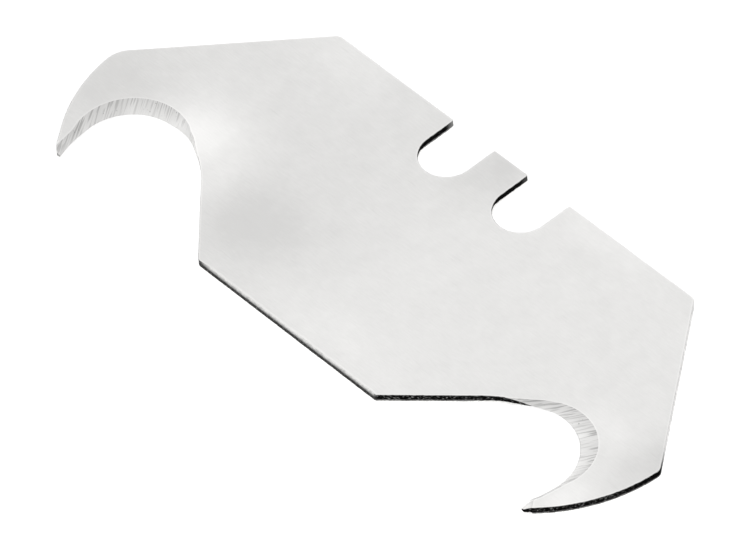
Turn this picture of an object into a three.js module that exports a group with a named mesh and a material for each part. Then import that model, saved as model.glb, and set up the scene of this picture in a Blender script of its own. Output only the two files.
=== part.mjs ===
import * as THREE from 'three';
import { mergeVertices } from 'three/addons/utils/BufferGeometryUtils.js';

// Double-ended hook blade for a trimming knife, one stamping of ground tool steel.
// It lies flat: +X runs along its length, +Y points to the spine and +Z is up. The origin is under
// the middle of its bounding box. Millimetres throughout.
//
// Both ends are alike, so only the +X half is built and the other half is its mirror image. Drops are
// distances below the spine.

const LENGTH = 50;
const WIDTH = 19;
const THICKNESS = 0.6;

// Outline of the blank.
const SPINE_LENGTH = 32.7;
const BOTTOM_LENGTH = 16.1;
const SHOULDER_DROP = 10.9;
const HOOK_BACK_RADIUS = 11.55;
const HOOK_BACK_CENTRE_DROP = 10.4;
const FACE_TIP_DROP = 18.6;

// Two open locating notches in the spine, each with parallel walls and a full round end.
const NOTCH_PITCH = 6.76;
const NOTCH_WIDTH = 3.72;
const NOTCH_DEPTH = 4.15;

// Throat of the hook: a straight wall, a wide root arc, the round cutting edge, and a slacker arc
// that carries the edge out to the tip.
const THROAT_WALL_ANGLE = THREE.MathUtils.degToRad(43.4);
const THROAT_ROOT_RADIUS = 9.7;
const THROAT_RADIUS = 3.75;
const THROAT_CENTRE_X = 17.66;
const THROAT_CENTRE_DROP = 15.96;
const TIP_EDGE_RADIUS = 6.45;
const TIP_EDGE_START = THREE.MathUtils.degToRad(7.8);
const TIP_EDGE_DROP = 18.97;

// The edge is ground from both faces. Where the grind meets a face it leaves a second arc, shifted
// into the blade, so the bevel is widest at the crown of the hook and runs out at the root.
const BEVEL_RADIUS = 3.74;
const BEVEL_CENTRE_X = 18.33;
const BEVEL_CENTRE_DROP = 15.08;

// Facets along each round stretch.
const HOOK_BACK_STEPS = 26;
const ROOT_STEPS = 6;
const GRIND_STEPS = 44;
const NOTCH_STEPS = 18;

const HALF_THICKNESS = THICKNESS / 2;

function onCircle(centre, radius, angle) {
  return new THREE.Vector2(
    centre.x + radius * Math.cos(angle),
    centre.y + radius * Math.sin(angle)
  );
}

function arcPoints(centre, radius, from, to, steps) {
  const points = [];
  for (let i = 0; i <= steps; i++) {
    points.push(onCircle(centre, radius, THREE.MathUtils.lerp(from, to, i / steps)));
  }
  return points;
}

function angleFrom(centre, point) {
  return Math.atan2(point.y - centre.y, point.x - centre.x);
}

// Angle, on the +X side of a circle, of the point that lies this far below the spine.
function angleAtDrop(centre, radius, drop) {
  return Math.asin((-drop - centre.y) / radius);
}

// Where two circles cross, taking the crossing with the smaller x.
function firstCrossing(centreA, radiusA, centreB, radiusB) {
  const gap = centreA.distanceTo(centreB);
  const along = (gap * gap + radiusA * radiusA - radiusB * radiusB) / (2 * gap);
  const across = Math.sqrt(radiusA * radiusA - along * along);
  const u = centreB.clone().sub(centreA).divideScalar(gap);
  const foot = centreA.clone().addScaledVector(u, along);
  const side = new THREE.Vector2(-u.y, u.x);
  const one = foot.clone().addScaledVector(side, across);
  const other = foot.clone().addScaledVector(side, -across);
  return one.x < other.x ? one : other;
}

// The throat's arcs, in order from the straight wall to the tip, and where the grind starts.
function throatGeometry() {
  const wallFoot = new THREE.Vector2(BOTTOM_LENGTH / 2, -WIDTH);
  const along = new THREE.Vector2(Math.cos(THROAT_WALL_ANGLE), Math.sin(THROAT_WALL_ANGLE));
  const intoThroat = new THREE.Vector2(along.y, -along.x);
  const centre = new THREE.Vector2(THROAT_CENTRE_X, -THROAT_CENTRE_DROP);
  const bevelCentre = new THREE.Vector2(BEVEL_CENTRE_X, -BEVEL_CENTRE_DROP);

  // The root arc touches the straight wall and runs smoothly into the round cutting edge.
  const toCentre = centre.clone().sub(wallFoot);
  const spare = THROAT_ROOT_RADIUS - toCentre.dot(intoThroat);
  const reach = Math.sqrt((THROAT_ROOT_RADIUS - THROAT_RADIUS) ** 2 - spare ** 2);
  const wallLength = toCentre.dot(along) - reach;
  const wallEnd = wallFoot.clone().addScaledVector(along, wallLength);
  const rootCentre = wallEnd.clone().addScaledVector(intoThroat, THROAT_ROOT_RADIUS);

  const tipCentre = onCircle(centre, THROAT_RADIUS - TIP_EDGE_RADIUS, TIP_EDGE_START);
  const grindStart = firstCrossing(rootCentre, THROAT_ROOT_RADIUS, bevelCentre, BEVEL_RADIUS);
  return { wallFoot, wallEnd, centre, bevelCentre, rootCentre, tipCentre, grindStart };
}

const throat = throatGeometry();

// The blade is longest at the corners, where the shoulders meet the hook backs.
const cornerFall = SHOULDER_DROP - HOOK_BACK_CENTRE_DROP;
const backCentre = new THREE.Vector2(
  LENGTH / 2 - Math.sqrt(HOOK_BACK_RADIUS ** 2 - cornerFall ** 2),
  -HOOK_BACK_CENTRE_DROP
);
const faceTipAngle = angleAtDrop(backCentre, HOOK_BACK_RADIUS, FACE_TIP_DROP);
const faceTip = onCircle(backCentre, HOOK_BACK_RADIUS, faceTipAngle);

// Cutting edge, from the tip back to where the grind runs out.
function cuttingEdge() {
  const tipAngle = angleAtDrop(throat.tipCentre, TIP_EDGE_RADIUS, TIP_EDGE_DROP);
  const rootAngle = angleFrom(throat.rootCentre, throat.centre);
  const startAngle = angleFrom(throat.rootCentre, throat.grindStart);
  const path = new THREE.Path();
  path.absarc(
    throat.tipCentre.x, throat.tipCentre.y, TIP_EDGE_RADIUS, tipAngle, TIP_EDGE_START, false
  );
  path.absarc(throat.centre.x, throat.centre.y, THROAT_RADIUS, TIP_EDGE_START, rootAngle, false);
  path.absarc(
    throat.rootCentre.x, throat.rootCentre.y, THROAT_ROOT_RADIUS, rootAngle, startAngle, false
  );
  return path.getSpacedPoints(GRIND_STEPS);
}

// Line where the grind meets the face: a slack arc up from the tip, then the shifted round arc.
function bevelLine() {
  const side = onCircle(throat.bevelCentre, BEVEL_RADIUS, 0);
  const inset = side.x - faceTip.x;
  const height = side.y - faceTip.y;
  const slackRadius = (inset * inset + height * height) / (2 * inset);
  const slackCentre = new THREE.Vector2(side.x - slackRadius, side.y);
  const startAngle = angleFrom(throat.bevelCentre, throat.grindStart);
  const path = new THREE.Path();
  path.absarc(slackCentre.x, slackCentre.y, slackRadius, angleFrom(slackCentre, faceTip), 0, false);
  path.absarc(throat.bevelCentre.x, throat.bevelCentre.y, BEVEL_RADIUS, 0, startAngle, false);
  return path.getSpacedPoints(GRIND_STEPS);
}

// Upright wall from the middle of the spine, round the notch, shoulder and hook back, to the tip.
function outerWall() {
  const notchRadius = NOTCH_WIDTH / 2;
  const notchCentre = new THREE.Vector2(NOTCH_PITCH / 2, notchRadius - NOTCH_DEPTH);
  const cornerAngle = angleAtDrop(backCentre, HOOK_BACK_RADIUS, SHOULDER_DROP);
  const wall = [new THREE.Vector2(0, 0)];
  wall.push(new THREE.Vector2(notchCentre.x - notchRadius, 0));
  wall.push(...arcPoints(notchCentre, notchRadius, -Math.PI, 0, NOTCH_STEPS));
  wall.push(new THREE.Vector2(notchCentre.x + notchRadius, 0));
  wall.push(new THREE.Vector2(SPINE_LENGTH / 2, 0));
  wall.push(...arcPoints(backCentre, HOOK_BACK_RADIUS, cornerAngle, faceTipAngle, HOOK_BACK_STEPS));
  return wall;
}

// Upright wall from where the grind runs out, down the throat's straight wall, to the middle of the
// bottom.
function innerWall() {
  const from = angleFrom(throat.rootCentre, throat.grindStart);
  const to = angleFrom(throat.rootCentre, throat.wallEnd);
  const wall = arcPoints(throat.rootCentre, THROAT_ROOT_RADIUS, from, to, ROOT_STEPS);
  wall.push(throat.wallFoot);
  wall.push(new THREE.Vector2(0, -WIDTH));
  return wall;
}

// Collects the triangles of the half blade. z is counted from the middle of the thickness.
class Skin {
  constructor() {
    this.positions = [];
  }

  triangle(...corners) {
    for (const [point, z] of corners) {
      this.positions.push(point.x, point.y + WIDTH / 2, z + HALF_THICKNESS);
    }
  }

  // Strip between two lines of points that run side by side.
  strip(upper, upperZ, lower, lowerZ) {
    for (let i = 0; i + 1 < upper.length; i++) {
      this.triangle([upper[i], upperZ], [upper[i + 1], upperZ], [lower[i + 1], lowerZ]);
      this.triangle([upper[i], upperZ], [lower[i + 1], lowerZ], [lower[i], lowerZ]);
    }
  }

  // Full-height upright wall.
  wall(points) {
    this.strip(points, HALF_THICKNESS, points, -HALF_THICKNESS);
  }

  // Flat face on both sides of the blade.
  faces(contour) {
    for (const triple of THREE.ShapeUtils.triangulateShape(contour, [])) {
      const [a, b, c] = triple.map((index) => contour[index]);
      const clockwise = (b.x - a.x) * (c.y - a.y) - (b.y - a.y) * (c.x - a.x) < 0;
      const [first, last] = clockwise ? [c, a] : [a, c];
      this.triangle([first, HALF_THICKNESS], [b, HALF_THICKNESS], [last, HALF_THICKNESS]);
      this.triangle([last, -HALF_THICKNESS], [b, -HALF_THICKNESS], [first, -HALF_THICKNESS]);
    }
  }
}

function halfBlade() {
  const skin = new Skin();
  const outer = outerWall();
  const edge = cuttingEdge();
  const bevel = bevelLine();
  const inner = innerWall();

  // Neighbouring stretches share their end points exactly.
  bevel[0] = outer[outer.length - 1];
  bevel[GRIND_STEPS] = inner[0];
  edge[GRIND_STEPS] = inner[0];

  skin.wall(outer);
  skin.triangle([bevel[0], HALF_THICKNESS], [edge[0], 0], [bevel[0], -HALF_THICKNESS]);
  skin.strip(bevel, HALF_THICKNESS, edge, 0);
  skin.strip(edge, 0, bevel, -HALF_THICKNESS);

  // The wall next to the grind also meets the end of the cutting edge, at mid thickness.
  const [end, next] = inner;
  skin.triangle([end, HALF_THICKNESS], [next, HALF_THICKNESS], [end, 0]);
  skin.triangle([end, 0], [next, HALF_THICKNESS], [next, -HALF_THICKNESS]);
  skin.triangle([end, 0], [next, -HALF_THICKNESS], [end, -HALF_THICKNESS]);
  skin.wall(inner.slice(1));

  skin.faces([...outer, ...bevel.slice(1), ...inner.slice(1)]);
  return skin.positions;
}

// The half and its mirror image, each triangle of which is turned round to face out again.
function bladeGeometry() {
  const half = halfBlade();
  const positions = [...half];
  for (let i = 0; i < half.length; i += 9) {
    for (const corner of [6, 3, 0]) {
      positions.push(-half[i + corner], half[i + corner + 1], half[i + corner + 2]);
    }
  }
  const geometry = new THREE.BufferGeometry();
  geometry.setAttribute('position', new THREE.Float32BufferAttribute(positions, 3));
  const merged = mergeVertices(geometry, 1e-5);
  merged.computeVertexNormals();
  return merged;
}

const steel = new THREE.MeshStandardMaterial({
  color: new THREE.Color(0.72, 0.71, 0.69),
  roughness: 0.35,
  metalness: 1,
  flatShading: true,
});

const hookBlade = new THREE.Mesh(bladeGeometry(), steel);
hookBlade.name = 'hook_blade';

const blade = new THREE.Group();
blade.add(hookBlade);

export default blade;
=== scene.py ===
import math
from dataclasses import dataclass, fields

import bpy
import numpy as np
from mathutils import Matrix, Vector
from mathutils.geometry import delaunay_2d_cdt


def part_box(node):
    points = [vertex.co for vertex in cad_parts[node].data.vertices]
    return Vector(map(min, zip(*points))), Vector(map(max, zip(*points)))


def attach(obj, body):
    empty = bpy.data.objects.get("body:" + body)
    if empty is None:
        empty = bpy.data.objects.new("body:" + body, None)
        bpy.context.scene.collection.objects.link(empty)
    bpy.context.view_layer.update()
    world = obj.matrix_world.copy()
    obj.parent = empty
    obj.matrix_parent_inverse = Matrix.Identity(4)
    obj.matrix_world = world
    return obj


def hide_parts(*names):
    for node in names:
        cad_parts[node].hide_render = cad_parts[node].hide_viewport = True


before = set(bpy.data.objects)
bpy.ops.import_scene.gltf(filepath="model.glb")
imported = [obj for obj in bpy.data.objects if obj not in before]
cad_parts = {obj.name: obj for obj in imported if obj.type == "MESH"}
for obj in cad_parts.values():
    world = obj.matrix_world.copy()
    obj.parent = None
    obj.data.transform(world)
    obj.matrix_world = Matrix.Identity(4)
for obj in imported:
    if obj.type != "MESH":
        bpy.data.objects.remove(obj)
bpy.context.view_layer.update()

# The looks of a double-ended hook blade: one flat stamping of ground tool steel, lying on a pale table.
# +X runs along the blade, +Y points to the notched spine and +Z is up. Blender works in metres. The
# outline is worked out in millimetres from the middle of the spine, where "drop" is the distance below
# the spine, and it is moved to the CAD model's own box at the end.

MM = 0.001
blade_low, blade_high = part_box("hook_blade")
LENGTH = (blade_high.x - blade_low.x) / MM
WIDTH = (blade_high.y - blade_low.y) / MM
THICKNESS = (blade_high.z - blade_low.z) / MM
HALF_THICKNESS = THICKNESS / 2

# Outline of the blank, as in the CAD model.
BOTTOM_LENGTH = 16.1
HOOK_BACK_RADIUS = 11.55
HOOK_BACK_CENTRE = np.array([LENGTH / 2 - HOOK_BACK_RADIUS, -10.4])
FACE_TIP_DROP = 18.6
NOTCH_PITCH = 6.76
NOTCH_WIDTH = 3.72
NOTCH_DEPTH = 4.15
THROAT_WALL_ANGLE = 43.4
THROAT_ROOT_RADIUS = 9.7
THROAT_RADIUS = 3.75
THROAT_CENTRE = np.array([17.66, -15.96])
TIP_END_DROP = 18.93

# Spacing of the mesh along the walls, along the ground edges and inside the flat faces.
WALL_SPACING = 0.12
EDGE_SPACING = 0.042
FACE_SPACING = 0.30
RIM_SPACING = 0.13
TIP_SPACING = 0.05

# Degrees between the points of an arc, and points in a straight line and in a rounded corner.
ARC_STEP = 0.4
LINE_POINTS = 24
CORNER_POINTS = 9

MERGE_DISTANCE = 1e-7    # points closer than this count as one

# Rows of the side mesh: from the rim of a face, over the rounded corner or the bevel, to the mid plane.
BEVEL_SHARES = (0, 0.02, 0.05, 0.1, 0.18, 0.28, 0.4, 0.52, 0.64, 0.76, 0.87, 0.95, 1)
WALL_SHARES = (0.2, 0.4, 0.6, 0.8, 1)


@dataclass
class Hook:
    """What differs between the two hooks. Each was ground by hand on its own.
    All is given for the right side; the left hook is the mirror image of its own numbers."""
    side: int
    spine_end: float       # where the straight spine ends, from the middle
    shoulder_drop: float   # drop of the corner between shoulder and hook back
    corner_reach: float    # rounding of that corner
    edge_centre: tuple     # round part of the cutting edge
    edge_radius: float
    root_shift: float      # how much further out the root of the throat was ground
    root_blend: tuple      # angles between which the round edge turns into the root
    tip_start: float       # angle where the slack arc towards the tip begins
    tip_reach: float       # distance from the throat's centre there
    tip_radius: float
    tip_cut: float         # distance of a straight cut across the tip, 0 for none
    bevel_centre: tuple    # the bevel line is part of a circle of its own
    bevel_radius: float
    tip_bevel: float       # bevel width near the tip
    root_bevel: float      # bevel width where the root begins
    flare_end: float       # angle below which the bevel widens to the face tip
    full_angle: float      # the grind reaches mid thickness up to this angle
    grind_angle: float     # and runs out at this one
    mark_angle: float      # direction of the grinding marks
    mark_depth: float
    notch_band: float      # how pale the lower part of the notch walls is
    notch_edge: float      # height share of their bright lower corner
    root_pale: float       # how pale the throat's wall is next to the grind
    tip_pale: float        # how pale the blunt end of the tip is
    foot_fade: float       # length over which the wide rounding of the bottom starts
    tip_flare: float       # how far the hook back leans out at the tip


RIGHT = Hook(
    side=1, spine_end=16.4, shoulder_drop=11.12, corner_reach=0.22,
    edge_centre=(17.56, -15.86), edge_radius=3.69, root_shift=0.0, root_blend=(100, 116),
    tip_start=0, tip_reach=3.60, tip_radius=5.0, tip_cut=2.884,
    bevel_centre=(18.25, -14.82), bevel_radius=3.58, tip_bevel=0.36, root_bevel=0.56, flare_end=-30.5,
    full_angle=125, grind_angle=148.5, mark_angle=-133, mark_depth=0.0035, notch_band=0.1,
    notch_edge=0.28, root_pale=0.0, tip_pale=0.0, foot_fade=0.2, tip_flare=0.0,
)
LEFT = Hook(
    side=-1, spine_end=15.78, shoulder_drop=10.62, corner_reach=0.8,
    edge_centre=(17.79, -16.06), edge_radius=3.69, root_shift=0.06, root_blend=(84, 116),
    tip_start=7.8, tip_reach=3.75, tip_radius=6.9, tip_cut=0.0,
    bevel_centre=(18.42, -15.35), bevel_radius=3.89, tip_bevel=0.5, root_bevel=0.30, flare_end=-20,
    full_angle=122, grind_angle=140, mark_angle=-120, mark_depth=0.0045, notch_band=1.0,
    notch_edge=0.13, root_pale=1.0, tip_pale=0.4, foot_fade=1.2, tip_flare=0.11,
)

# Angles round the throat's centre, in degrees, that both hooks share.
LOWEST_ANGLE = -60             # below both tips
TIP_CUT_ANGLE = 7.7            # which way the cut across the tip faces
TIP_BEVEL_END = 45             # where the tip's own narrow bevel has run out
FAN_END = -12                  # up to here the columns fan out from the face tip
ROOT_BEVEL_BLEND = (100, 116)  # between these the bevel takes the width that it has at the root
ROOT_BEVEL_ANGLE = 112         # from here the root's bevel tapers
TIP_BLEND = (4, 28)            # degrees past its start between which the slack arc takes over

ROOT_TAPER = 1.5               # over 1, so the root's bevel narrows fastest at first
EDGE_SOFTNESS = 0.06           # rounding where two parts of the edge or of the bevel line meet
EDGE_STRETCH = 1.03            # the edge is a little longer than an arc of the throat's radius


# ---- plane geometry

def direction(angle):
    """Unit vectors at angles in degrees."""
    angle = np.radians(angle)
    return np.stack([np.cos(angle), np.sin(angle)], axis=-1)


def angle_of(vector):
    return math.degrees(math.atan2(vector[1], vector[0]))


def smoothstep(low, high, value):
    """Rises smoothly from 0 at low to 1 at high."""
    share = np.clip((value - low) / (high - low), 0, 1)
    return share * share * (3 - 2 * share)


def blended(start, end, share):
    """The start value where the share is 0, and the end value where it is 1."""
    return start + (end - start) * share


def softer_max(a, b, softness):
    """The larger of two values, with the crossing rounded off."""
    return 0.5 * (a + b + np.sqrt((a - b) ** 2 + softness ** 2))


def lengths_along(points):
    steps = np.linalg.norm(np.diff(points, axis=0), axis=1)
    return np.concatenate([[0], np.cumsum(steps)])


def cut(points, start, end):
    """The middle of a path, without a length off its start and a length off its end."""
    at = lengths_along(points)
    low, high = start, at[-1] - end
    keep = (at > low) & (at < high)
    ends = [[np.interp(s, at, points[:, i]) for i in (0, 1)] for s in (low, high)]
    return np.vstack([ends[0], points[keep], ends[1]])


def spaced(points, spacing):
    """The same path with evenly spaced points."""
    at = lengths_along(points)
    count = max(2, int(math.ceil(at[-1] / spacing)) + 1)
    wanted = np.linspace(0, at[-1], count)
    return np.stack([np.interp(wanted, at, points[:, i]) for i in (0, 1)], axis=-1)


def line(start, end, count=LINE_POINTS):
    share = np.linspace(0, 1, count)[:, None]
    return np.array(start) * (1 - share) + np.array(end) * share


def arc(centre, radius, start, end):
    count = max(3, int(abs(end - start) / ARC_STEP))
    return np.array(centre) + radius * direction(np.linspace(start, end, count))


def softened(paths, reaches):
    """Joins paths end to end, rounding the corner after each path over its reach."""
    trimmed = []
    for i, path in enumerate(paths):
        before = reaches[i - 1] if i else 0
        after = reaches[i] if i < len(reaches) else 0
        trimmed.append(cut(path, before, after) if before or after else path)
    joined = [trimmed[0]]
    for i in range(1, len(paths)):
        if reaches[i - 1]:
            share = np.linspace(0, 1, CORNER_POINTS)[1:-1, None]
            start, corner, end = trimmed[i - 1][-1], paths[i][0], trimmed[i][0]
            joined.append(start * (1 - share) ** 2 + 2 * corner * share * (1 - share) + end * share ** 2)
            joined.append(trimmed[i])
        else:
            joined.append(trimmed[i][1:])
    return np.vstack(joined)


def reach_of_circle(centre, radius, angle):
    """Distance from the throat's centre to a circle round it, in the directions given."""
    offset = np.array(centre) - THROAT_CENTRE
    along = direction(angle) @ offset
    return along + np.sqrt(along ** 2 - offset @ offset + radius ** 2)


# ---- outline of one hook

# How far each corner of the outline is rounded.
NOTCH_MOUTH_REACHES = (0.1, 0.12)
SPINE_END_REACH = 0.25
FOOT_REACH = 0.12

ROOT_SHIFT_FADE = 5  # length of the throat's wall over which it comes back to the blank's outline
FLARE_DEPTH = 0.5    # how deep the lean of a hook back goes in from the outline
FLARE_REACH = 0.75   # and how far round the tip


def back_angle(drop):
    """Angle round the hook back's centre, in degrees, of its point at a drop."""
    return math.degrees(math.asin((-drop - HOOK_BACK_CENTRE[1]) / HOOK_BACK_RADIUS))


def on_back(drop):
    return HOOK_BACK_CENTRE + HOOK_BACK_RADIUS * direction(back_angle(drop))


def back_arc(start_drop, end_drop):
    return arc(HOOK_BACK_CENTRE, HOOK_BACK_RADIUS, back_angle(start_drop), back_angle(end_drop))


FACE_TIP = on_back(FACE_TIP_DROP)
FACE_TIP_ANGLE = angle_of(FACE_TIP - THROAT_CENTRE)


def root_circle():
    """Centre of the wide root arc, which touches the straight wall and the round cutting edge, and the
    point where the straight wall ends."""
    foot = np.array([BOTTOM_LENGTH / 2, -WIDTH])
    along = direction(THROAT_WALL_ANGLE)
    into_throat = np.array([along[1], -along[0]])
    to_centre = THROAT_CENTRE - foot
    spare = THROAT_ROOT_RADIUS - to_centre @ into_throat
    reach = math.sqrt((THROAT_ROOT_RADIUS - THROAT_RADIUS) ** 2 - spare ** 2)
    wall_end = foot + along * (to_centre @ along - reach)
    return wall_end + into_throat * THROAT_ROOT_RADIUS, wall_end


def edge_reach(hook, angle):
    """Distance from the throat's centre to the cutting edge, which is a slack arc and a cut at the tip, then
    the round part, then the root."""
    reach = reach_of_circle(hook.edge_centre, hook.edge_radius, angle)
    tip_centre = THROAT_CENTRE - (hook.tip_radius - hook.tip_reach) * direction(hook.tip_start)
    tip = reach_of_circle(tip_centre, hook.tip_radius, angle)
    reach = blended(reach, tip, smoothstep(*TIP_BLEND, hook.tip_start - angle))
    cut_reach = np.where(angle < 0, hook.tip_cut / np.abs(direction(angle) @ direction(TIP_CUT_ANGLE)), 0)
    reach = softer_max(reach, cut_reach, EDGE_SOFTNESS)
    root_centre, _ = root_circle()
    root = reach_of_circle(root_centre, THROAT_ROOT_RADIUS, angle) + hook.root_shift
    return blended(reach, root, smoothstep(*hook.root_blend, angle))


def bevel_width(hook, angle):
    """Width of the ground bevel, measured away from the throat's centre."""
    tip_width = np.linalg.norm(FACE_TIP - THROAT_CENTRE) - edge_reach(hook, np.array([FACE_TIP_ANGLE]))[0]
    ground = reach_of_circle(hook.bevel_centre, hook.bevel_radius, angle) - edge_reach(hook, angle)
    tail = hook.tip_bevel * (1 - smoothstep(0, TIP_BEVEL_END, angle))
    to_root = np.clip((angle - ROOT_BEVEL_ANGLE) / (hook.grind_angle - ROOT_BEVEL_ANGLE), 0, 1)
    root = hook.root_bevel * (1 - to_root) ** ROOT_TAPER
    width = softer_max(ground, tail, EDGE_SOFTNESS)
    width = blended(width, root, smoothstep(*ROOT_BEVEL_BLEND, angle))
    return blended(width, tip_width, 1 - smoothstep(FACE_TIP_ANGLE, hook.flare_end, angle))


def edge_columns(hook):
    """Cutting edge and bevel line, from the tip to where the grind runs out, as paired points, and how
    deep the grind is there."""
    fine = np.arange(LOWEST_ANGLE, hook.grind_angle, ARC_STEP)
    drops = -(THROAT_CENTRE[1] + edge_reach(hook, fine) * np.sin(np.radians(fine)))
    edge_tip_angle = np.interp(-TIP_END_DROP, -drops, fine)
    length = math.radians(hook.grind_angle - edge_tip_angle) * THROAT_RADIUS * EDGE_STRETCH
    edge_angle = np.linspace(edge_tip_angle, hook.grind_angle, int(length / EDGE_SPACING))
    edge = THROAT_CENTRE + edge_reach(hook, edge_angle)[:, None] * direction(edge_angle)

    # The bevel line starts at the face tip, so near it the columns fan out.
    fan = np.clip((edge_angle - edge_tip_angle) / (FAN_END - edge_tip_angle), 0, 1)
    bevel_angle = np.where(fan < 1, blended(FACE_TIP_ANGLE, FAN_END, fan), edge_angle)
    bevel_reach = edge_reach(hook, bevel_angle) + bevel_width(hook, bevel_angle)
    bevel = THROAT_CENTRE + bevel_reach[:, None] * direction(bevel_angle)
    depth = 1 - np.clip((edge_angle - hook.full_angle) / (hook.grind_angle - hook.full_angle), 0, 1)
    return edge, bevel, depth


def outer_path(hook):
    """From the middle of the spine round the notch, the shoulder and the hook back to the face tip."""
    notch_radius = NOTCH_WIDTH / 2
    notch_centre = np.array([NOTCH_PITCH / 2, notch_radius - NOTCH_DEPTH])
    near, far = notch_centre[0] - notch_radius, notch_centre[0] + notch_radius
    spine_end = (hook.spine_end, 0)
    notch = np.vstack([
        line((near, 0), (near, notch_centre[1])),
        arc(notch_centre, notch_radius, -180, 0)[1:],
        line((far, notch_centre[1]), (far, 0))[1:],
    ])
    paths = [
        line((0, 0), (near, 0)),
        notch,
        line((far, 0), spine_end),
        line(spine_end, on_back(hook.shoulder_drop)),
        back_arc(hook.shoulder_drop, FACE_TIP_DROP),
    ]
    return softened(paths, [*NOTCH_MOUTH_REACHES, SPINE_END_REACH, hook.corner_reach])


def inner_path(hook):
    """From where the grind runs out, down the throat's wall, to the middle of the bottom."""
    root_centre, wall_end = root_circle()
    start = THROAT_CENTRE + edge_reach(hook, np.array([hook.grind_angle])) * direction(hook.grind_angle)
    from_root = start - root_centre
    to_wall = wall_end - root_centre
    foot = (BOTTOM_LENGTH / 2, -WIDTH)
    wall = np.vstack([
        arc(root_centre, THROAT_ROOT_RADIUS, angle_of(from_root), angle_of(to_wall)),
        line(wall_end, foot)[1:],
    ])
    away = wall - THROAT_CENTRE
    shift = hook.root_shift * (1 - smoothstep(0, ROOT_SHIFT_FADE, lengths_along(wall)))
    wall = wall + away / np.linalg.norm(away, axis=1)[:, None] * shift[:, None]
    return softened([wall, line(foot, (0, -WIDTH))], [FOOT_REACH])


def flared(hook, points):
    """Pushes the hook back out a little round the tip."""
    away = points - HOOK_BACK_CENTRE
    reach = np.linalg.norm(away, axis=1)[:, None]
    near_back = smoothstep(HOOK_BACK_RADIUS - FLARE_DEPTH, HOOK_BACK_RADIUS, reach)
    near_tip = np.exp(-(np.linalg.norm(points - FACE_TIP, axis=1)[:, None] / FLARE_REACH) ** 2)
    return points + away / reach * (hook.tip_flare * near_back * near_tip)


# ---- columns of the side

@dataclass
class Columns:
    """The blade's side, one column for each point of the outline."""
    point: np.ndarray     # the outline, where the side meets mid thickness
    rim: np.ndarray       # where the face begins
    ground: np.ndarray    # tells a ground bevel (1) from a blanked wall (0)
    depth: np.ndarray     # how much of the half thickness the grind has taken
    along: np.ndarray     # length along the outline
    soft: np.ndarray      # tells a widely rounded upper corner (1) from a tight one (0)
    roll: np.ndarray      # fades the rounding out towards the tips
    worn: np.ndarray      # rounds the lower corners of the notch mouths
    mark: np.ndarray      # how deep the grinding marks are
    pale: np.ndarray      # how light the wall is
    band: np.ndarray      # how pale its lower part is
    grains: np.ndarray    # how many bright grains it shows
    low_edge: np.ndarray  # share of the height that its bright lower corner reaches
    # Painted shade falls on steep narrow bevels.
    steep_shade: np.ndarray     # tells a steep narrow bevel (1)


def inward(loop):
    """Unit normals that point into the blade. The closed loop runs clockwise, seen from above."""
    steps = np.roll(loop, -1, axis=0) - np.roll(loop, 1, axis=0)
    steps = steps / np.linalg.norm(steps, axis=1)[:, None]
    return np.stack([steps[:, 1], -steps[:, 0]], axis=-1)


# Share of the height that a wall's bright lower corner reaches: anywhere, and next to the grind.
LOW_EDGE = 0.13
ROOT_LOW_EDGE = 0.32
ROOT_LOW_FADE = 2.5            # length of the throat's wall over which the one turns into the other
ROOT_PALE_FADE = (3.5, 8)      # and over which a pale root turns dark
NOTCH_END_LOW_EDGE = 0.4       # how much higher it reaches round the end of a notch
NOTCH_END_DROPS = (2.3, 3.5)   # and between which drops it gets there

SPINE_BAND = 0.3               # how pale the lower part of the spine and shoulder is
BACK_BAND = 0.6                # and of the hook back
MOUTH_PALE = (0.08, 0.3)       # how pale a notch's mouth is, above a dark lower part and above a pale one
NOTCH_GRAINS = 0.1
NOTCH_MARGIN = 0.1             # the notch walls' finish goes this far past the walls
SPINE_MARGIN = 0.03            # and starts this far below the spine
MOUTH_FADE = (0.1, 0.7)        # drops between which the paler mouth of a notch turns dark
BACK_FADE = 1.8                # the hook back's dark finish sets in this far before the corner
BACK_GRAIN_FADE = 5            # and its bright grains come in this far after it
BOTTOM_HEIGHTS = (0.02, 0.12)  # heights above the bottom between which its finish turns into the throat's
BOTTOM_PALE = 0.05


def bottom_share(inner):
    """Tells the straight bottom (1) from the throat's wall (0)."""
    return 1 - smoothstep(*BOTTOM_HEIGHTS, inner[:, 1] + WIDTH)


def wall_tones(hook, outer, inner):
    """How pale each wall and its lower band are, how grainy it is, and how high its bright lower corner is:
    light spine and shoulder, dark notches, back and throat."""
    x, drop = outer[:, 0], -outer[:, 1]
    in_notch = (np.abs(x - NOTCH_PITCH / 2) < NOTCH_WIDTH / 2 + NOTCH_MARGIN) & (drop > SPINE_MARGIN)
    on_back = smoothstep(hook.shoulder_drop - BACK_FADE, hook.shoulder_drop, drop)
    mouth_pale = blended(*MOUTH_PALE, hook.notch_band)
    notch_low = hook.notch_edge + NOTCH_END_LOW_EDGE * smoothstep(*NOTCH_END_DROPS, drop)
    back_grains = smoothstep(hook.shoulder_drop, hook.shoulder_drop + BACK_GRAIN_FADE, drop)
    outer_tones = (
        np.where(in_notch, mouth_pale * (1 - smoothstep(*MOUTH_FADE, drop)), 1 - on_back),
        np.where(in_notch, hook.notch_band, blended(SPINE_BAND, BACK_BAND, on_back)),
        np.where(in_notch, NOTCH_GRAINS, back_grains),
        np.where(in_notch, notch_low, LOW_EDGE),
    )
    from_grind = lengths_along(inner)
    on_bottom = bottom_share(inner)
    root_pale = hook.root_pale * (1 - smoothstep(*ROOT_PALE_FADE, from_grind))
    inner_tones = (
        np.maximum(BOTTOM_PALE * on_bottom, root_pale),
        1 - on_bottom,
        np.ones(len(inner)),
        blended(ROOT_LOW_EDGE, LOW_EDGE, smoothstep(0, ROOT_LOW_FADE, from_grind)),
    )
    return outer_tones, inner_tones


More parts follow.
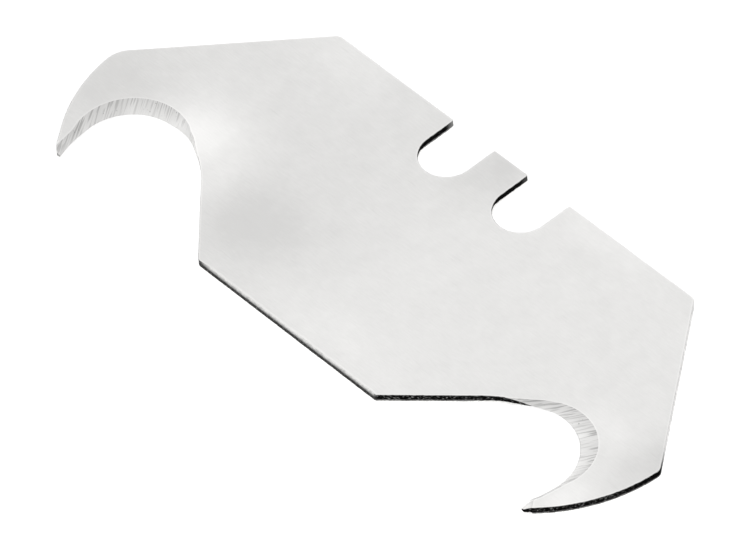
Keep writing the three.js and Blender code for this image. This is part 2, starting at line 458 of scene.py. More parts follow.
TIP_DEPTH = 0.9            # how much of the half thickness the grind has taken at the blunt end
TIP_DEPTH_CURVE = 1.4
TIP_ROLL_FADE = 0.5        # length before the tip over which the rounded corner fades out
GRIND_FADE = 0.4           # length over which a blanked wall turns into the bevel at the root
MOUTH_WEAR = 0.28          # how far from the corners of a notch mouth the wear goes
# Steep narrow bevels get painted shade.
STEEP_SLOPES = (0.4, 0.9)  # slopes between which a bevel starts to count as steep
LEAST_BEVEL = 0.02         # width that keeps the slope finite where the bevel runs out


def tip_columns(edge, bevel):
    """Past the face tip the grind cuts down the hook back, then a short blunt end leads to the edge. Gives
    the outline there, the rim's points for it, fanned out, and the depth of the grind."""
    back_end = back_arc(FACE_TIP_DROP, TIP_END_DROP)
    tip = spaced(np.vstack([back_end, line(back_end[-1], edge[0])[1:]]), TIP_SPACING)[1:-1]
    fan = line(bevel[0], bevel[1], len(tip) + 3)[1:-1]
    depth = TIP_DEPTH * np.linspace(0, 1, len(tip) + 2)[1:-1] ** TIP_DEPTH_CURVE
    return tip, fan, depth


def mouth_wear(outer):
    """Strongest at the two corners of the notch mouth."""
    mouths = [(NOTCH_PITCH / 2 + reach, 0) for reach in (-NOTCH_WIDTH / 2, NOTCH_WIDTH / 2)]
    to_mouth = np.min([np.hypot(*(outer - mouth).T) for mouth in mouths], axis=0)
    return np.exp(-(to_mouth / MOUTH_WEAR) ** 2)


# How much painted shade a steep narrow bevel gets.
def steepness(point, rim, depth, ground):
    width = np.linalg.norm(point - rim, axis=1)
    slope = depth * HALF_THICKNESS / np.maximum(width, LEAST_BEVEL)
    low, high = STEEP_SLOPES
    return ground * np.clip((slope - low) / (high - low), 0, 1)


def hook_columns(hook):
    """One half of the blade, from the middle of the spine to the middle of the bottom."""
    outer = spaced(outer_path(hook), WALL_SPACING)
    edge, bevel, edge_depth = edge_columns(hook)
    inner = spaced(inner_path(hook), WALL_SPACING)[1:]
    tip, fan, tip_depth = tip_columns(edge, bevel)
    on_outer, on_tip, on_edge, on_inner = [np.zeros(len(part)) for part in (outer, tip, edge, inner)]

    point = np.vstack([outer, tip, edge, inner])
    rim = np.vstack([outer, fan, bevel[1:], inner])
    ground_start = smoothstep(0, GRIND_FADE, lengths_along(edge[::-1]))[::-1]
    ground = np.concatenate([on_outer, on_tip + 1, ground_start, on_inner])
    depth = np.concatenate([on_outer, tip_depth, edge_depth, on_inner])

    to_tip = lengths_along(outer[::-1])[::-1]
    roll = np.concatenate([smoothstep(0, TIP_ROLL_FADE, to_tip), on_tip + 1, on_edge + 1, on_inner + 1])
    bottom = bottom_share(inner) * smoothstep(0, hook.foot_fade, BOTTOM_LENGTH / 2 - inner[:, 0])

    outer_tone, inner_tone = wall_tones(hook, outer, inner)
    tip_tone = (hook.tip_pale, 0, 1, ROOT_LOW_EDGE)
    edge_tone = (hook.root_pale, 0, 1, ROOT_LOW_EDGE)
    tones = [np.concatenate([walls, on_tip + at_tip, on_edge + at_edge, throat])
             for walls, at_tip, at_edge, throat in zip(outer_tone, tip_tone, edge_tone, inner_tone)]
    pale, band, grains, low_edge = tones

    steep_shade = steepness(point, rim, depth, ground)
    point, rim = flared(hook, point) * [hook.side, 1], flared(hook, rim) * [hook.side, 1]
    return Columns(
        point=point, rim=rim, ground=ground, depth=depth, along=lengths_along(point),
        soft=np.concatenate([on_outer, on_tip, on_edge, bottom]), roll=roll,
        worn=np.concatenate([mouth_wear(outer), on_tip, on_edge, on_inner]),
        mark=np.where(ground > 0, hook.mark_depth, 0),
        pale=pale, band=band, grains=grains, low_edge=low_edge, steep_shade=steep_shade,
    )


def joined_columns():
    """Both halves as one closed loop, clockwise seen from above."""
    right, left = hook_columns(RIGHT), hook_columns(LEFT)
    loop = {}
    for field in fields(Columns):
        if field.name != "along":
            a, b = getattr(right, field.name), getattr(left, field.name)
            loop[field.name] = np.concatenate([a, b[::-1][1:-1]])
    along = lengths_along(loop["point"])
    return Columns(along=along, **loop)


# ---- small irregularities

rng = np.random.default_rng(24)


def knot_curve(knots, where):
    """Smooth curve through random numbers that stand one apart."""
    whole = np.floor(where).astype(int)
    share = smoothstep(0, 1, where - whole)
    return knots[whole] * (1 - share) + knots[whole + 1] * share


def wander(at, spacing):
    """Smooth random numbers from -1 to 1 along a line, with one new value each spacing."""
    knots = rng.uniform(-1, 1, int(at.max() / spacing) + 4)
    return knot_curve(knots, at / spacing)


# Grinding marks: spacing and share of each sort. They run straight over a hook, side by side.
MARK_SORTS = ((0.09, 0.4), (0.22, 0.35), (0.7, 0.25))
MARK_REACH = 45      # no point of the blade is further across the marks from the middle of the spine
MARK_ROOM = 2.2      # knots for both sides of it, with some to spare
mark_knots = [rng.uniform(-1, 1, int(MARK_ROOM * MARK_REACH / spacing)) for spacing, _ in MARK_SORTS]


def mark_places(plan):
    """Places across and along the grinding marks."""
    right, left = direction(RIGHT.mark_angle), direction(LEFT.mark_angle) * [-1, 1]
    is_right = plan[:, 0] > 0
    across = np.where(is_right, plan @ [-right[1], right[0]], plan @ [-left[1], left[0]])
    along = np.where(is_right, plan @ right, plan @ left)
    return across, along


def grinding_marks(plan, shift):
    """Uneven grooves over the bevel, as depths from 0 to 1."""
    across, _ = mark_places(plan)
    curves = [weight * knot_curve(knots, (across + MARK_REACH + shift) / spacing)
              for knots, (spacing, weight) in zip(mark_knots, MARK_SORTS)]
    return 0.5 + 0.5 * sum(curves)


TORN_DEPTH = 0.022

# Waves up the broken part of a wall: share of the depth, radians over half the thickness, phase and sway,
# and the lengths along the wall over which they come and go and over which they sway.
TORN_WAVES = ((0.3, 9, 0, 3, 0.16, 0.5), (0.35, 5, math.pi / 2, 4, 0.3, 0.9))


def torn_wall(along, height):
    """Uneven depth of the broken part of a blanked wall."""
    waves = 0.5
    for share, turn, phase, sway, length, sway_length in TORN_WAVES:
        strength = share * wander(along, length)
        waves = waves + strength * np.sin(height * turn + phase + sway * wander(along, sway_length))
    return TORN_DEPTH * np.clip(waves, 0, 1)


# ---- side mesh

# The rounded corner between a face and a wall: tight, and at its softest.
ROLL_WIDTH = 0.03
ROLL_HEIGHT = 0.035
SOFT_ROLL_WIDTH = 0.13
SOFT_ROLL_HEIGHT = 0.22
LOWER_SOFTNESS = 0.3     # how soft the lower corners are
LEAST_ROLL = 0.2         # share of the height that the corner keeps at the tips
ROLL_WANDER = 0.25       # how much the width comes and goes
ROLL_SPACING = 0.5

EDGE_BLUNTNESS = 0.006   # half the thickness of the cutting edge itself

# Shares of the bevel's width over which its grooves fade in and out, so that both its edges stay true.
GROOVE_START = 0.12
GROOVE_END = 0.06
GROOVE_SWAY = 0.5        # how much a groove also moves the bevel sideways
LEAST_SLANT = 1e-6       # keeps the tilt finite where there is no bevel
TEAR_START = 0.5         # share of the way down to mid thickness over which the torn depth sets in

# Shifts of the grooves and of the torn waves, so that the lower half doesn't mirror the upper one.
UPPER_SHIFTS = (0, 0)
LOWER_SHIFTS = (0.37, 2)


def rolled_row(columns, normal, roll_width, roll_height, share):
    """A row of the rounded corner between a face and a wall."""
    turn = share * math.pi / 2
    plan = columns.rim + normal * (roll_width * (1 - math.sin(turn)))[:, None]
    return plan, HALF_THICKNESS - roll_height * (1 - math.cos(turn))


def bevel_row(columns, normal, groove_shift, share):
    """A row of the ground bevel, with its grooves."""
    to_edge = columns.point - columns.rim
    width = np.linalg.norm(to_edge, axis=1)
    drop = columns.depth * (HALF_THICKNESS - EDGE_BLUNTNESS)
    tilt = drop / np.maximum(np.hypot(width, drop), LEAST_SLANT)
    plan = columns.rim + to_edge * share
    groove = grinding_marks(plan, groove_shift)
    bite = columns.mark * groove * min(1, share / GROOVE_START) * min(1, (1 - share) / GROOVE_END)
    plan = plan + normal * (bite * tilt * GROOVE_SWAY)[:, None]
    return plan, HALF_THICKNESS - drop * share - bite


def side_half(columns, is_upper):
    """Rows of the side from the rim to the mid plane. z counts from mid thickness, upwards positive."""
    groove_shift, tear_shift = UPPER_SHIFTS if is_upper else LOWER_SHIFTS
    soft = columns.soft if is_upper else np.maximum(LOWER_SOFTNESS, columns.worn)
    roll_height = blended(ROLL_HEIGHT, SOFT_ROLL_HEIGHT, soft) * np.maximum(columns.roll, LEAST_ROLL)
    roll_width = blended(ROLL_WIDTH, SOFT_ROLL_WIDTH, soft) * columns.roll
    roll_width = roll_width * (1 + ROLL_WANDER * wander(columns.along, ROLL_SPACING))
    normal = inward(columns.point)
    ground = columns.ground

    rows = []
    for share in BEVEL_SHARES:
        rolled, rolled_z = rolled_row(columns, normal, roll_width, roll_height, share)
        bevelled, bevelled_z = bevel_row(columns, normal, groove_shift, share)
        plan = rolled * (1 - ground[:, None]) + bevelled * ground[:, None]
        rows.append((plan, rolled_z * (1 - ground) + bevelled_z * ground))

    last_plan, last_z = rows[-1]
    for share in WALL_SHARES:
        height = last_z * (1 - share)
        broken = torn_wall(columns.along, height / HALF_THICKNESS + tear_shift)
        broken = broken * (1 - ground) * min(1, share / TEAR_START)
        rows.append((last_plan + normal * broken[:, None], height))

    rim = columns.rim + normal * (roll_width * (1 - ground))[:, None]
    rows[0] = (rim, rows[0][1])
    sign = 1 if is_upper else -1
    return [(plan, sign * z) for plan, z in rows]


def side_rows(columns):
    upper = side_half(columns, True)
    lower = side_half(columns, False)
    return upper + lower[-2::-1]


# ---- flat faces

ROW_SHARE = 0.866      # distance between the rows of a triangular grid, as a share of its spacing
GRID_GAP = 1.8         # the grid keeps this far from the rim, in spacings of the border
BORDER_GAP = 0.75      # and the border itself this far, where the rim folds back on it


def face_fill(rim):
    """Inside points and triangles of a flat face, in plan, for a closed rim: a border of points along the
    rim and a triangular grid inside it."""
    low, high = rim.min(axis=0), rim.max(axis=0)
    xs = np.arange(low[0], high[0], FACE_SPACING)
    ys = np.arange(low[1], high[1], FACE_SPACING * ROW_SHARE)
    grid = np.array([(x + FACE_SPACING / 2 * (j % 2), y) for j, y in enumerate(ys) for x in xs])
    inside = points_inside(grid, rim)
    inside = inside[nearest_gap(inside, rim) > RIM_SPACING * GRID_GAP]
    border = (rim + inward(rim) * RIM_SPACING)[::2]
    border = border[nearest_gap(border, rim) > RIM_SPACING * BORDER_GAP]
    border = points_inside(border, rim)
    extra = np.vstack([border, inside])

    count = len(rim)
    points = [Vector(p) for p in np.vstack([rim, extra])]
    edges = [(i, (i + 1) % count) for i in range(count)]
    _, _, faces, origins, _, _ = delaunay_2d_cdt(points, edges, [], 1, MERGE_DISTANCE)
    back = [origin[0] for origin in origins]
    triangles = [tuple(back[i] for i in face) for face in faces]
    return extra, triangles


def is_inside(p, loop):
    """Even-odd test of a point against a closed loop."""
    x, y = loop[:, 0], loop[:, 1]
    x2, y2 = np.roll(x, -1), np.roll(y, -1)
    spans = (y > p[1]) != (y2 > p[1])
    cross = x + (p[1] - y) / np.where(y2 == y, 1, y2 - y) * (x2 - x)
    return np.count_nonzero(spans & (p[0] < cross)) % 2 == 1


def points_inside(points, loop):
    return points[np.array([is_inside(p, loop) for p in points])]


def nearest_gap(points, loop):
    """Distance from each point to the nearest point of a loop."""
    return np.array([np.hypot(*(loop - p).T).min() for p in points])


# ---- tone of the faces

# Soft lighter and darker clouds that heat treatment and grinding left on the faces:
# place along the blade, drop below the spine, reach each way, and how much lighter.
CLOUDS = (
    (-15.8, 12.0, 3.0, 2.8, 1.6),
    (-11.9, 14.3, 1.3, 2.2, 0.55),
    (-23.3, 12.6, 2.6, 4.0, -0.65),
    (-7.8, 14.6, 3.4, 3.2, -0.8),
    (0.0, 0.8, 2.4, 3.0, -0.85),
    (-14.0, 0.6, 3.6, 2.6, 0.5),
    (9.4, 0.5, 4.0, 1.2, 0.35),
    (2.0, 17.6, 9.0, 2.6, 0.3),
    (20.0, 11.0, 2.2, 1.4, 0.45),
    (24.3, 10.6, 1.6, 3.4, -0.9),
    (22.6, 16.8, 1.4, 2.2, 0.9),
)

# Painted light and shade on the bevels, in the same form: lighter where a bevel should catch more light,
# darker where less. The strongest are painted highlights that make the left hook's root and the cut across
# the right tip pale.
PAINTED_BEVEL_LIGHT = (
    (-16.5, 12.3, 1.3, 1.0, 1.75),
    (-15.7, 12.8, 0.6, 0.5, -1.3),
    (-20.2, 13.0, 2.0, 1.4, 0.5),
    (-20.8, 14.8, 1.4, 2.0, -0.3),
    (-20.9, 18.2, 1.0, 0.9, 0.4),
    (18.5, 14.5, 6.0, 5.0, 0.30),
    (20.6, 13.6, 1.5, 1.4, -0.35),
    (21.3, 15.2, 0.6, 0.6, 0.6),
    (16.2, 12.4, 2.2, 1.4, 0.65),
    (21.6, 17.2, 1.2, 1.5, -0.6),
    (21.1, 18.7, 0.45, 0.5, 1.9),
)

# Where the grinding marks are darker than elsewhere, and by how much.
MARK_CLOUDS = (
    (16.0, 12.5, 2.3, 1.5, 1.9),
    (19.6, 13.0, 1.8, 1.4, 0.7),
    (-21.0, 16.0, 1.2, 2.4, 0.5),
)

# Painted shade on the faces, darker towards the left end, where the light falls off:
PAINTED_FACE_SHADE = (-0.62, -0.17)  # of the left end and of the right end
FACE_SHADE_CHANGE = (-7, 5)        # places along the blade between which the one turns into the other


def cloud_tone(plan, clouds):
    """How much lighter the clouds make each place."""
    tone = np.zeros(len(plan))
    for x, drop, reach_x, reach_y, strength in clouds:
        away = ((plan[:, 0] - x) / reach_x) ** 2 + ((plan[:, 1] + drop) / reach_y) ** 2
        tone = tone + strength * np.exp(-away)
    return tone


def face_tone_and_shade(plan):
    """The clouds, and painted shade that makes the left half a little darker all over, where the light falls
    off.
    """
    return cloud_tone(plan, CLOUDS) + blended(*PAINTED_FACE_SHADE, smoothstep(*FACE_SHADE_CHANGE, plan[:, 0]))


# ---- the blade

FACE, BEVEL, WALL = 0, 1, 2

# From which depth the grind has left only the cutting edge, and from which share a column is ground.
EDGE_DEPTH = 0.97
GROUND_SHARE = 0.02


def placed(name, data):
    """A new object in the scene, for a mesh, a light or a camera."""
    thing = bpy.data.objects.new(name, data)
    bpy.context.scene.collection.objects.link(thing)
    return thing


def side_faces(columns, row_count):
    """Faces between the rows of the side, and the material of each."""
    faces, slots = [], []
    count = len(columns.point)
    bevel_rows = len(BEVEL_SHARES) - 1
    for row in range(row_count - 1):
        on_bevel = row < bevel_rows or row >= row_count - 1 - bevel_rows
        for i in range(count):
            j = (i + 1) % count
            a, b = row * count, (row + 1) * count
            faces.append((a + i, a + j, b + j, b + i))
            is_edge = min(columns.depth[i], columns.depth[j]) > EDGE_DEPTH
            is_ground = min(columns.ground[i], columns.ground[j]) > GROUND_SHARE
            slots.append(BEVEL if is_edge or (is_ground and on_bevel) else WALL)
    return faces, slots


def face_triangles(triangles, count, rim_start, extra_start):
    """A flat face's triangles in the numbers of the whole mesh: first the rim's points, then the inside."""
    return [tuple(rim_start + i if i < count else extra_start + i - count for i in tri) for tri in triangles]


def build_blade():
    columns = joined_columns()
    rows = side_rows(columns)
    row_count, count = len(rows), len(columns.point)
    side = np.vstack([np.column_stack([plan, z]) for plan, z in rows])
    top_extra, top_triangles = face_fill(rows[0][0])
    low_extra, low_triangles = face_fill(rows[-1][0])
    top = np.column_stack([top_extra, np.full(len(top_extra), HALF_THICKNESS)])
    low = np.column_stack([low_extra, np.full(len(low_extra), -HALF_THICKNESS)])
    points = np.vstack([side, top, low])

    faces, slots = side_faces(columns, row_count)
    faces += face_triangles(top_triangles, count, 0, len(side))
    low_faces = face_triangles(low_triangles, count, (row_count - 1) * count, len(side) + len(top))
    faces += [face[::-1] for face in low_faces]
    slots += [FACE] * (len(faces) - len(slots))

    place = np.array([0, blade_high.y, (blade_low.z + blade_high.z) / 2])
    mesh = bpy.data.meshes.new("ground_blade")
    mesh.from_pydata((points * MM + place).tolist(), [], faces)
    mesh.polygons.foreach_set("material_index", slots)
    mesh.polygons.foreach_set("use_smooth", [slot != FACE for slot in slots])
    add_attributes(mesh, columns, row_count, points)
    mesh.validate()
    mesh.update()
    return placed("ground_blade", mesh)


def add_attributes(mesh, columns, row_count, points):
    """What the materials need to know at each point. The columns tell it for the side only."""
    count = len(columns.point)
    across = [*BEVEL_SHARES, *[1] * (2 * len(WALL_SHARES) - 1), *BEVEL_SHARES[::-1]]
    # The rows at the rim of each face carry a painted highlight.
    painted_rim_highlight = [1] + [0] * (row_count - 2) + [1]
    inside_faces = np.zeros(len(points) - row_count * count)
    values = {"across": np.repeat(across, count), "rim": np.repeat(painted_rim_highlight, count)}
    for name in ("along", "soft", "pale", "band", "grains", "low_edge", "steep_shade"):
        values[name] = np.tile(getattr(columns, name), row_count)
    values = {name: np.concatenate([on_side, inside_faces]) for name, on_side in values.items()}

    plan = points[:, :2]
    values["face_tone_and_shade"] = face_tone_and_shade(plan)
    values["painted_bevel_light"] = cloud_tone(plan, PAINTED_BEVEL_LIGHT)
    values["mark_tone"] = 1 + cloud_tone(plan, MARK_CLOUDS)
    values["across_marks"], values["along_marks"] = mark_places(plan)
    for name, numbers in values.items():
        attribute = mesh.attributes.new(name, "FLOAT", "POINT")
        attribute.data.foreach_set("value", np.asarray(numbers, dtype=np.float32))


# ---- material helpers

class Shading:
    """A material's node tree, with short calls to add nodes that take numbers or other nodes' outputs."""

    def __init__(self, name):
        self.material = bpy.data.materials.new(name)
        self.material.use_nodes = True
        self.tree = self.material.node_tree
        self.tree.nodes.clear()
        self.shader = self.node("BsdfPrincipled")
        self.node("OutputMaterial", Surface=self.shader.outputs[0])

    def node(self, kind, **inputs):
        node = self.tree.nodes.new("ShaderNode" + kind)
        self.fill(node, inputs)
        return node

    def fill(self, node, inputs):
        """Sets a node's inputs to numbers, colours or other nodes' outputs."""
        for name, value in inputs.items():
            if isinstance(value, bpy.types.NodeSocket):
                self.tree.links.new(value, node.inputs[name])
            else:
                node.inputs[name].default_value = value

    def finished(self, inputs):
        """The material, with these inputs on its shader."""
        self.fill(self.shader, inputs)
        return self.material

    def math(self, operation, *values):
        node = self.node("Math")
        node.operation = operation
        self.fill(node, dict(enumerate(values)))
        return node.outputs[0]

    def added(self, level, value, amount):
        """A level with some of another value on top."""
        return self.math("MULTIPLY_ADD", value, amount, level)

    def varied(self, level, noise, amount):
        """A level that a noise takes up and down."""
        return self.added(level, self.math("SUBTRACT", noise, 0.5), amount)

    def attribute(self, name):
        node = self.node("Attribute")
        node.attribute_name = name
        return node.outputs["Fac"]

    def place(self):
        """Place on the blade, in millimetres."""
        node = self.node("VectorMath")
        node.operation = "SCALE"
        self.fill(node, {"Vector": self.node("TexCoord").outputs["Object"], "Scale": 1 / MM})
        return node.outputs[0]

    def stretched(self, vector, scale, turn=0.0):
        """A place scaled each way and turned by an angle in degrees."""
        rotation = (0, 0, math.radians(turn))
        return self.node("Mapping", Vector=vector, Scale=scale, Rotation=rotation).outputs[0]

    def combine(self, x, y):
        return self.node("CombineXYZ", X=x, Y=y).outputs[0]

    def noise(self, vector, detail, roughness, scale=1.0):
        node = self.node("TexNoise", Vector=vector, Scale=scale, Detail=detail, Roughness=roughness)
        return node.outputs["Fac"]

    def scratches(self, vector, along, across, turn, rarity):
        """Sparse thin lines, one way."""
        where = self.stretched(vector, (along, across, across), turn)
        return self.span(self.noise(where, detail=1.0, roughness=0.5), rarity, rarity + SCRATCH_FADE)

    def span(self, value, low, high, out_low=0.0, out_high=1.0, smooth=True):
        """Goes from out_low to out_high while the value goes from low to high."""
        node = self.node("MapRange")
        node.interpolation_type = "SMOOTHSTEP" if smooth else "LINEAR"
        self.fill(node, dict(enumerate((value, low, high, out_low, out_high))))
        return node.outputs[0]

    def blend(self, share, dark, light):
        node = self.node("Mix")
        node.data_type = "RGBA"
        self.fill(node, {"Factor": share, "A": dark, "B": light})
        return node.outputs["Result"]

    def bump(self, height, distance):
        return self.node("Bump", Height=height, Distance=distance).outputs[0]


# ---- materials

WARMTH = 0.012


def grey(level):
    """A slightly warm grey."""
    return (level * (1 + WARMTH / 2), level, level * (1 - WARMTH), 1)


FACE_DARK, FACE_LIGHT = grey(0.66), grey(0.97)
BEVEL_DARK, BEVEL_LIGHT = grey(0.30), grey(0.96)
# The torn metal is painted near black: painted shade for the dark that the walls mirror.
TORN_METAL_SHADE, TORN_GRAIN = grey(0.003), grey(0.20)
DRESSED_DARK, DRESSED_LIGHT = grey(0.56), grey(0.92)
LOWER_BAND = grey(0.34)
TIGHT_CORNER = grey(0.62)
# Painted shade and light down the wide rounded corner: dark at its foot, light at its top.
WIDE_CORNER_SHADED, WIDE_CORNER_LIT = grey(0.20), grey(0.93)
LOWER_CORNER = grey(0.93)

SCRATCH_FADE = 0.06          # how soft a scratch's edge is, in steps of its noise
GROUND_RELIEF = 0.004 * MM   # height of the grain and the grinding marks
TORN_RELIEF = 0.02 * MM


def ground_face_steel():
    """Satin faces: fine grain along the blade, soft clouds, painted shade that darkens the left half, a few
    stray scratches and a painted highlight along the rim.
    """
    s = Shading("ground_face_steel")
    mm = s.place()
    grain = s.noise(s.stretched(mm, (0.5, 9.0, 9.0), turn=-4), detail=3.0, roughness=0.65)
    fine_grain = s.noise(s.stretched(mm, (1.6, 22.0, 22.0), turn=3), detail=2.0, roughness=0.6)
    mottle = s.noise(mm, detail=4.0, roughness=0.6, scale=0.8)
    scratches = s.math("ADD", s.scratches(mm, 0.45, 11.0, 24, 0.735), s.scratches(mm, 0.7, 15.0, -58, 0.745))
    # The face's clouds and its painted shade.
    level = s.added(0.46, s.attribute("face_tone_and_shade"), 0.36)
    level = s.varied(level, grain, 0.24)
    level = s.varied(level, fine_grain, 0.36)
    level = s.varied(level, mottle, 0.30)
    level = s.added(level, scratches, -0.10)
    # Painted highlight: the face lightens towards its rim, as if a rounded edge caught the light.
    level = s.added(level, s.math("POWER", s.attribute("rim"), 1.5), 0.35)
    height = s.added(s.added(grain, fine_grain, 0.5), scratches, -0.5)
    return s.finished({
        "Base Color": s.blend(level, FACE_DARK, FACE_LIGHT),
        "Metallic": 1.0,
        "Roughness": s.span(grain, 0.2, 0.8, 0.28, 0.42),
        "Normal": s.bump(height, GROUND_RELIEF),
    })


def ground_bevel_steel():
    """Bevels: straight grinding marks side by side, some dark, with a few dark spots, and painted light and
    shade: painted shade where steep, a painted highlight towards the cutting edge, and soft painted clouds.
    """
    s = Shading("ground_bevel_steel")
    across_marks, along_marks = s.attribute("across_marks"), s.attribute("along_marks")

    def marks(spacing, length, detail):
        where = s.combine(s.math("DIVIDE", across_marks, spacing), s.math("DIVIDE", along_marks, length))
        return s.noise(where, detail, roughness=0.6)

    broad = marks(0.8, 6.0, 1.0)
    crisp = marks(0.13, 2.2, 1.0)
    fine = marks(0.05, 1.5, 2.0)
    dark_marks = s.math("MULTIPLY", s.span(crisp, 0.51, 0.60), s.span(broad, 0.36, 0.60, 0.45, 1.0))
    dark_marks = s.math("MULTIPLY", dark_marks, s.attribute("mark_tone"))
    dark_marks = s.math("MULTIPLY", dark_marks, s.span(s.attribute("across"), 0.2, 1.0, 1.0, 0.5))
    spots = s.span(s.noise(s.place(), detail=1.0, roughness=0.4, scale=6.0), 0.73, 0.79)

    level = s.added(0.47, fine, 0.30)
    level = s.varied(level, broad, 0.30)
    level = s.added(level, dark_marks, -0.30)
    level = s.added(level, spots, -0.5)
    # Painted shade on steep narrow bevels.
    level = s.added(level, s.attribute("steep_shade"), -0.12)
    # Painted highlight: the bevel lightens towards the cutting edge.
    level = s.added(level, s.attribute("across"), 0.20)
    # Painted light and shade in soft clouds over the bevels.
    level = s.added(level, s.attribute("painted_bevel_light"), 0.25)
    return s.finished({
        "Base Color": s.blend(level, BEVEL_DARK, BEVEL_LIGHT),
        "Metallic": 1.0,
        "Roughness": s.span(crisp, 0.3, 0.7, 0.30, 0.46),
        "Normal": s.bump(s.added(crisp, fine, 0.4), GROUND_RELIEF),
    })


# Height shares of a wall between which each zone goes from nothing to full.
BAND_ZONE = (0.36, 0.22)
TIGHT_CORNER_ZONE = (0.955, 1.0)
WIDE_CORNER_ZONE = (0.58, 0.72)
WIDE_CORNER_RISE = (0.62, 0.97)
LOW_EDGE_ZONE = (0.05, -0.02)  # above the low edge's own height


def shaded_torn_or_dressed(s, grains, along, height, pale):
    """Torn metal painted near black, as painted shade for the dark that the walls mirror, with grains that
    catch the light, or a paler finish where the wall was dressed.
    """
    specks = s.math("MULTIPLY", s.span(grains, 0.54, 0.66), s.attribute("grains"))
    torn_shade = s.blend(specks, TORN_METAL_SHADE, TORN_GRAIN)
    strokes = s.combine(s.math("MULTIPLY", along, 9.0), height)
    strokes = s.span(s.noise(strokes, detail=3.0, roughness=0.65), 0.3, 0.7)
    return s.blend(pale, torn_shade, s.blend(strokes, DRESSED_DARK, DRESSED_LIGHT))


def blanked_wall_steel():
    """Blanked walls: a bright rolled corner, with a wide slope of painted light and shade along the bottom,
    a torn band painted near black as shade, with grey grains, and a paler lower band.
    """
    s = Shading("blanked_wall_steel")
    mm = s.place()
    along, pale = s.attribute("along"), s.attribute("pale")
    height = s.math("DIVIDE", s.node("SeparateXYZ", Vector=mm).outputs["Z"], THICKNESS)
    ragged = s.noise(s.combine(along, height), detail=4.0, roughness=0.7, scale=3.0)
    height = s.varied(height, ragged, 0.26)
    grains = s.noise(s.stretched(mm, (1.0, 1.0, 1.6)), detail=3.0, roughness=0.6, scale=6.0)
    colour = shaded_torn_or_dressed(s, grains, along, height, pale)

    # The paler lower band comes and goes along the wall.
    patchy = s.noise(s.combine(along, 0.0), detail=2.0, roughness=0.5, scale=0.9)
    patchy = s.span(patchy, 0.36, 0.56, 0.35, 1.0)
    band = s.math("MULTIPLY", s.math("MULTIPLY", s.span(height, *BAND_ZONE), s.attribute("band")), patchy)
    colour = s.blend(band, colour, LOWER_BAND)

    # The rolled corner: a thin bright line, or along the bottom a wide soft slope of painted light and
    # shade, light at its top and dark lower down, where the rounding turns away from the light.
    tight = s.math("MULTIPLY", s.span(height, *TIGHT_CORNER_ZONE), 0.7)
    wide = s.math("MULTIPLY", s.span(height, *WIDE_CORNER_ZONE), s.attribute("soft"))
    painted_light_rise = s.math("POWER", s.span(height, *WIDE_CORNER_RISE, smooth=False), 1.6)
    slope = s.blend(painted_light_rise, WIDE_CORNER_SHADED, WIDE_CORNER_LIT)
    colour = s.blend(wide, s.blend(tight, colour, TIGHT_CORNER), slope)

    # The burnished lower corner mirrors the table.
    low = s.span(s.math("SUBTRACT", height, s.attribute("low_edge")), *LOW_EDGE_ZONE)
    bright = pale
    for share in (band, tight, wide, low):
        bright = s.math("MAXIMUM", bright, share)
    return s.finished({
        "Base Color": s.blend(low, colour, LOWER_CORNER),
        "Metallic": bright,
        "Specular IOR Level": 0.0,
        "Roughness": s.span(grains, 0.3, 0.7, 0.5, 0.8),
        "Normal": s.bump(grains, TORN_RELIEF),
    })


# ---- stage

TABLE_REACH = 1.5
TABLE_GAP = 0.00005      # keeps the blade's lower face clear of the table
TABLE_GLOW = 0.5
ROOM_STRENGTH = 0.80


def pale_table():
    """A large pale table, lit so evenly that it keeps almost no shadow."""
    mesh = bpy.data.meshes.new("table")
    corners = [(TABLE_REACH * x, TABLE_REACH * y, 0) for x, y in ((-1, -1), (1, -1), (1, 1), (-1, 1))]
    mesh.from_pydata(corners, [], [(0, 1, 2, 3)])
    mesh.materials.append(Shading("pale_table_top").finished({
        "Base Color": (0.85, 0.85, 0.85, 1),
        "Roughness": 0.9,
        "Specular IOR Level": 0.0,
        "Emission Color": (1, 1, 1, 1),
        "Emission Strength": TABLE_GLOW,
    }))
    table = placed("table", mesh)
    table.location.z = blade_low.z - TABLE_GAP


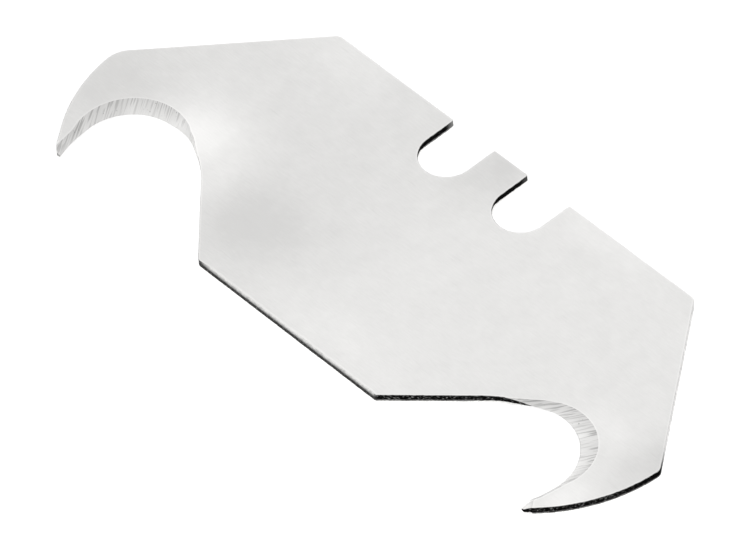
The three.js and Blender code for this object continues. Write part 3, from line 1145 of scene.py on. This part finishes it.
def soft_room():
    world = bpy.data.worlds.new("soft_room")
    bpy.context.scene.world = world
    world.use_nodes = True
    background = world.node_tree.nodes["Background"]
    background.inputs["Color"].default_value = (1, 1, 1, 1)
    background.inputs["Strength"].default_value = ROOM_STRENGTH


def towards(azimuth, elevation):
    """Unit vector for a direction seen from the blade. Azimuth 0 is towards -Y and 90 towards +X."""
    azimuth, elevation = math.radians(azimuth), math.radians(elevation)
    level = math.cos(elevation)
    return Vector((math.sin(azimuth) * level, -math.cos(azimuth) * level, math.sin(elevation)))


def soft_panel(name, azimuth, elevation, distance, width, height, radiance):
    """A large soft light that faces the blade."""
    back = towards(azimuth, elevation)
    light = bpy.data.lights.new(name, "AREA")
    light.shape = "RECTANGLE"
    light.size, light.size_y = width, height
    light.energy = radiance * math.pi * width * height
    lamp = placed(name, light)
    lamp.location = back * distance
    lamp.rotation_mode = "QUATERNION"
    lamp.rotation_quaternion = back.to_track_quat("Z", "Y")


# Where the camera stands: it looks down along the blade's near right side, with a long lens.
VIEW_AZIMUTH = 51.44
VIEW_ELEVATION = 47.49
VIEW_DISTANCE = 0.6568
VIEW_ROLL = -5.64
VIEW_LENS = 512.5
VIEW_SENSOR = 36
VIEW_CLIP = (0.01, 10)
VIEW_AIM = Vector((0.00079, -0.00278, blade_high.z))


def place_camera():
    back = towards(VIEW_AZIMUTH, VIEW_ELEVATION)
    data = bpy.data.cameras.new("camera")
    data.lens, data.sensor_width = VIEW_LENS, VIEW_SENSOR
    data.clip_start, data.clip_end = VIEW_CLIP
    camera = placed("camera", data)
    look = back.to_track_quat("Z", "Y").to_matrix().to_4x4()
    roll = Matrix.Rotation(math.radians(VIEW_ROLL), 4, "Z")
    camera.matrix_world = Matrix.Translation(VIEW_AIM + back * VIEW_DISTANCE) @ look @ roll
    bpy.context.scene.camera = camera


place_camera()
soft_room()
soft_panel("back_panel", azimuth=231, elevation=40, distance=0.6, width=0.8, height=0.55, radiance=0.27)
pale_table()
bpy.context.scene.view_settings.view_transform = "Standard"

blade = build_blade()
for material in (ground_face_steel(), ground_bevel_steel(), blanked_wall_steel()):
    blade.data.materials.append(material)
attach(blade, "root")
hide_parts("hook_blade")
